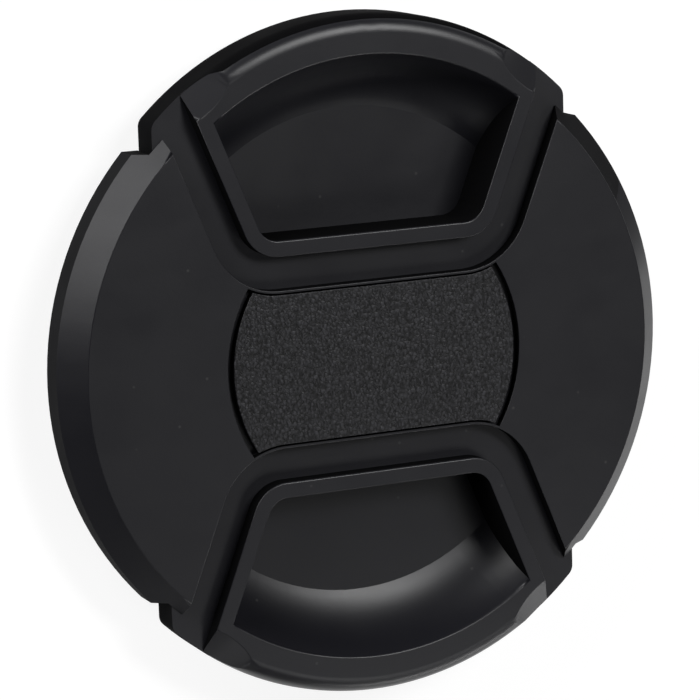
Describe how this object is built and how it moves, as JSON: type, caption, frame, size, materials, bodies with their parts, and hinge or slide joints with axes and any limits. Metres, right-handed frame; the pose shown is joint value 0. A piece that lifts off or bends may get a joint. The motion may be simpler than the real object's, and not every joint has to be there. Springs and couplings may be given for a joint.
{
  "type": "camera lens cap",
  "caption": "Round black pinch-grip cap that snaps into a lens filter thread, with sprung sliding finger grips and a leather-grained centre plate.",
  "frame": {"origin": "middle of the back of the collar, the plane the cap lies on", "axes": "+Z out of the front face along the lens axis, +Y towards the upper finger grip, +X across the bridge"},
  "size_m": [0.07, 0.0732, 0.0092],
  "materials": {
    "body_plastic": "fine matte moulded black",
    "plate_grain": "leather grain, matte black",
    "slider_plastic": "satin moulded black",
    "spring_steel": "drawn spring wire",
    "cover_plastic": "fine matte moulded black"
  },
  "bodies": {
    "cap": {"front_body": "body_plastic", "centre_plate": "plate_grain", "back_cover": "cover_plastic", "upper_spring": "spring_steel", "lower_spring": "spring_steel"},
    "upper_grip": {"upper_slider": "slider_plastic"},
    "lower_grip": {"lower_slider": "slider_plastic"}
  },
  "joints": [
    {"name": "upper_slide", "type": "slide", "parent": "cap", "child": "upper_grip", "axis": [0, -1, 0], "range_m": [0, 0.003], "stiffness_N_per_m": 1200, "springref_m": -0.0015, "deforming": ["upper_spring"]},
    {"name": "lower_slide", "type": "slide", "parent": "cap", "child": "lower_grip", "axis": [0, 1, 0], "range_m": [0, 0.003], "stiffness_N_per_m": 1200, "springref_m": -0.0015, "deforming": ["lower_spring"]}
  ]
}
